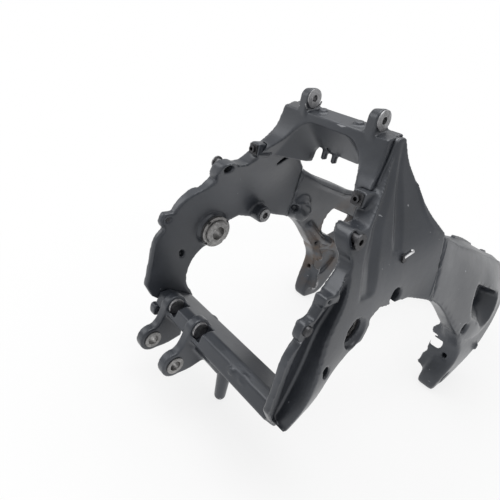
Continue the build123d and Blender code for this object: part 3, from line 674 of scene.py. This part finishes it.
def skin_tree(*names):
    """Search tree of the finished skins, to lay beads and lines on them."""
    corners, faces, start = [], [], 0
    for name in names:
        mesh = bpy.data.objects[name + "_skin"].data
        corners += [v.co.copy() for v in mesh.vertices]
        faces += [tuple(start + k for k in f.vertices) for f in mesh.polygons]
        start = len(corners)
    return BVHTree.FromPolygons(corners, faces)


def dropped(tree, starts, aims):
    """Where rays from the starts towards the aims first meet the skins: (points in mm, normals)."""
    points, normals = [], []
    for start, aim in zip(np.asarray(starts, float), np.asarray(aims, float)):
        way = unit(aim - start)
        hit, normal, index, far = tree.ray_cast(Vector(start * MM), Vector(way))
        if hit is not None:
            points.append(np.array(hit) / MM)
            normals.append(np.array(normal))
    return np.array(points), np.array(normals)


def eased(values, times=3):
    """Running mean of a closed row of points."""
    for _ in range(times):
        values = (np.roll(values, 1, axis=0) + 2 * values + np.roll(values, -1, axis=0)) / 4
    return values


class FRAME_OT_welds(bpy.types.Operator):
    """Lay the weld beads where the castings are joined"""

    bl_idname = "frame.welds"
    bl_label = "Weld beads"

    def execute(self, context):
        a = np.linspace(0, 2 * np.pi, 150, endpoint=False)[:, None]
        lean = math.radians(6)
        for side, word in ((1, "left"), (-1, "right")):
            tree = skin_tree("head_casting", word + "_side_casting")
            middle = np.array([SEAM_X, side * 130, 45.0])
            upward = np.array([math.sin(lean), 0, math.cos(lean)])
            way = np.cos(a) * np.array([0, 1, 0]) + np.sin(a) * upward
            points, normals = dropped(tree, middle + 150 * way, np.broadcast_to(middle, way.shape))
            if len(points) < 100:
                raise RuntimeError("the weld ring of the " + word + " side found no casting to lie on")
            bead = sweep(eased(points), eased(unit(normals)), 2.0, 1.25, 0.16, 3.2, 0.35, 12, closed=True)
            finished(word + "_arm_weld", [bead], cast_paint(), 60)
            tree = skin_tree("upper_crossmember", word + "_side_casting")
            rows = smooth(TOP_JOINT, 40)
            starts = np.stack([np.full(40, -60.0), side * rows[:, 0], rows[:, 1]], axis=-1)
            points, normals = dropped(tree, starts, starts + (200, 0, 0))
            bead = sweep(points[:-8], normals[:-8], 2.2, 1.2, 0.2, 3.0, 0.3, 12)
            finished(word + "_top_weld", [bead], cast_paint(), 60)
        return {"FINISHED"}


class FRAME_OT_fittings(bpy.types.Operator):
    """Add the guide stud, the worn lines and the other small bare metal"""

    bl_idname = "frame.fittings"
    bl_label = "Fittings"

    def execute(self, context):
        way = unit(np.array([0.05, -7.5, 12.8]))
        profile = [(0, 0), (0, 5.4), (0.5, 5.9), (5.0, 5.9), (5.6, 5.3), (5.6, 0)]
        hexagon = lathe((78, -128, 71), (0, -0.98, 0.18), profile, 6)
        finished("stud_nut", [hexagon], family_metal("right_heel_screw"), 20)
        base = (78, -131, 73)
        pin = lathe(base, way, [(0, 0), (0, 2.5), (13.5, 2.5), (14.5, 1.7), (14.5, 0)], 24)
        bright = turned_metal("bright pin", base, (0.86, 0.86, 0.87), 0.22, tuple(way))
        finished("guide_stud", [pin], bright)
        # worn ledge below the disc of the left seat rail lug
        a = np.linspace(math.radians(-152), math.radians(-8), 40)
        ledge = np.stack([57 + 15.4 * np.cos(a), np.full(40, 41.7), 209.5 + 15.4 * np.sin(a)], axis=-1)
        finished("worn_ledge", [sweep(ledge, (0, -1, 0), 0.9, 1.1, sink=0.2)], family_metal("left_rail_bush"))
        # lips along the outer top edges of the arms
        tree = skin_tree("head_casting")
        for side, word in ((1, "left"), (-1, "right")):
            rows = smooth(ARM_EDGE, 120)
            starts = np.stack([rows[:, 0], side * rows[:, 1], np.full(120, 200.0)], axis=-1)
            points, normals = dropped(tree, starts, starts - (0, 0, 100))
            lip = sweep(points, normals, 1.5, 1.7, sink=0.2)
            finished(word + "_arm_lip", [lip], cast_paint(), 60)
        # two pads on the inner rim of the right arm
        pads = []
        for x0, x1, y in RIM_PADS:
            starts = np.stack([np.linspace(x0, x1, 40), np.full(40, y), np.full(40, 200.0)], axis=-1)
            points, normals = dropped(tree, starts, starts - (0, 0, 100))
            pads.append(sweep(points, normals, 3.0, 4.6, sink=0.35, power=0.5, count=20))
        finished("rim_pads", pads, cast_paint())
        return {"FINISHED"}


class FRAME_OT_bare_metal(bpy.types.Operator):
    """Give the collars, bushes, races and screws their turned metal"""

    bl_idname = "frame.bare_metal"
    bl_label = "Bare metal"

    def execute(self, context):
        for node in TURNED:
            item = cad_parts[node]
            material = family_metal(node)
            item.data.materials.clear()
            item.data.materials.append(material)
            for place_in in item.material_slots:
                place_in.material = material
        return {"FINISHED"}


def floor_material():
    """Pale matt table: close to white near the frame, where it keeps the soft shadow, and white beyond."""
    shader = Shader("pale table")
    if shader.ready:
        return shader.material
    grain = shader.ramp(shader.noise(6.0, 3.0, 0.5), 0, 0.3, 0.7)
    tint = shader.mix(grain, (0.86, 0.86, 0.86), (0.88, 0.88, 0.88))
    shader.join(tint, 2, shader.bsdf, "Base Color")
    shader.bsdf.inputs["Roughness"].default_value = 0.85
    shader.bsdf.inputs["Specular IOR Level"].default_value = 0.1
    glow = shader.add("ShaderNodeEmission")
    glow.inputs["Color"].default_value = (1, 1, 1, 1)
    blend = shader.add("ShaderNodeMixShader")
    path = shader.add("ShaderNodeLightPath")
    seen = shader.add("ShaderNodeMath", operation="MAXIMUM")
    shader.join(path, "Is Camera Ray", seen, 0)
    shader.join(path, "Is Glossy Ray", seen, 1)
    away = shader.add("ShaderNodeVectorMath", operation="DISTANCE")
    shader.join(shader.coords, "Object", away, 0)
    away.inputs[1].default_value = TABLE_CENTRE
    fade = shader.add("ShaderNodeMapRange")
    fade.interpolation_type = "SMOOTHSTEP"
    shader.tree.links.new(away.outputs["Value"], fade.inputs["Value"])
    fade.inputs["From Min"].default_value = TABLE_FADE[0]
    fade.inputs["From Max"].default_value = TABLE_FADE[1]
    fade.inputs["To Min"].default_value = TABLE_GLOW[0]
    fade.inputs["To Max"].default_value = TABLE_GLOW[1]
    share = shader.maths("MULTIPLY", seen, fade)
    shader.join(share, 0, blend, 0)
    shader.join(shader.bsdf, 0, blend, 1)
    shader.join(glow, 0, blend, 2)
    shader.join(blend, 0, shader.out, "Surface")
    return shader.material


class FRAME_OT_stage(bpy.types.Operator):
    """Pale table, soft studio light and the camera"""

    bl_idname = "frame.stage"
    bl_label = "Stage"

    def execute(self, context):
        scene = context.scene
        look = scene.frame_stage
        # table: a flat grid whose height is constant
        line = np.linspace(-TABLE_HALF, TABLE_HALF, TABLE_ROWS)
        u, v = np.meshgrid(line, line)
        points = np.stack([u + 300, v, np.full_like(u, look.table / MM)], axis=-1)
        mesh = set_mesh("table", *grid(points, around=False))
        mesh.materials.append(floor_material())
        table = bpy.data.objects.new("table", mesh)
        scene.collection.objects.link(table)
        # light
        world = bpy.data.worlds.new("even light")
        scene.world = world
        world.use_nodes = True
        tree = world.node_tree
        tree.nodes.clear()
        out = tree.nodes.new("ShaderNodeOutputWorld")
        back = tree.nodes.new("ShaderNodeBackground")
        path = tree.nodes.new("ShaderNodeLightPath")
        level = tree.nodes.new("ShaderNodeMapRange")
        level.inputs["To Min"].default_value = look.sky
        level.inputs["To Max"].default_value = 1.0
        tree.links.new(path.outputs["Is Camera Ray"], level.inputs["Value"])
        tree.links.new(level.outputs[0], back.inputs["Strength"])
        back.inputs["Color"].default_value = (1, 1, 1, 1)
        tree.links.new(back.outputs[0], out.inputs["Surface"])
        for name, spot, aim, size, power in (
                ("top", (0.15, 0.15, 1.35), (0.2, 0, 0), 1.5, look.top_light),
                ("left", (-0.9, 1.3, 0.7), (0.1, 0, 0), 1.0, look.top_light * 0.35)):
            data = bpy.data.lights.new(name, "AREA")
            data.shape = "DISK"
            data.size = size
            data.energy = power
            lamp = bpy.data.objects.new(name, data)
            lamp.location = spot
            lamp.rotation_euler = (Vector(aim) - Vector(spot)).to_track_quat("-Z", "Y").to_euler()
            scene.collection.objects.link(lamp)
        # camera
        data = bpy.data.cameras.new("camera")
        data.lens = look.lens
        data.sensor_width = SENSOR_MM
        camera = bpy.data.objects.new("camera", data)
        right = Vector(CAMERA_RIGHT).normalized()
        forward = Vector(CAMERA_FORWARD).normalized()
        up = right.cross(forward).normalized()
        turn = Matrix((right, up, -forward)).transposed()
        camera.matrix_world = Matrix.Translation(look.camera) @ turn.to_4x4()
        scene.collection.objects.link(camera)
        scene.camera = camera
        scene.view_settings.view_transform = "Standard"
        return {"FINISHED"}


STEPS = ("stage", "castings", "bare_metal", "welds", "fittings")


class FRAME_PT_panel(bpy.types.Panel):
    """Buttons and values of the frame"""

    bl_label = "Motorcycle frame"
    bl_idname = "FRAME_PT_panel"
    bl_space_type = "VIEW_3D"
    bl_region_type = "UI"
    bl_category = "Frame"

    def draw(self, context):
        for step in STEPS:
            self.layout.operator("frame." + step)
        for group in (context.scene.frame_finish, context.scene.frame_stage):
            for key in group.__annotations__:
                self.layout.prop(group, key)


CLASSES = (FrameFinish, FrameStage, FRAME_OT_castings, FRAME_OT_bare_metal, FRAME_OT_welds,
           FRAME_OT_fittings, FRAME_OT_stage, FRAME_PT_panel)


def register():
    for item in CLASSES:
        bpy.utils.register_class(item)
    bpy.types.Scene.frame_finish = bpy.props.PointerProperty(type=FrameFinish)
    bpy.types.Scene.frame_stage = bpy.props.PointerProperty(type=FrameStage)


def unregister():
    del bpy.types.Scene.frame_finish
    del bpy.types.Scene.frame_stage
    for item in reversed(CLASSES):
        bpy.utils.unregister_class(item)


def main():
    register()
    for step in STEPS:
        getattr(bpy.ops.frame, step)()


if __name__ == "__main__":
    main()
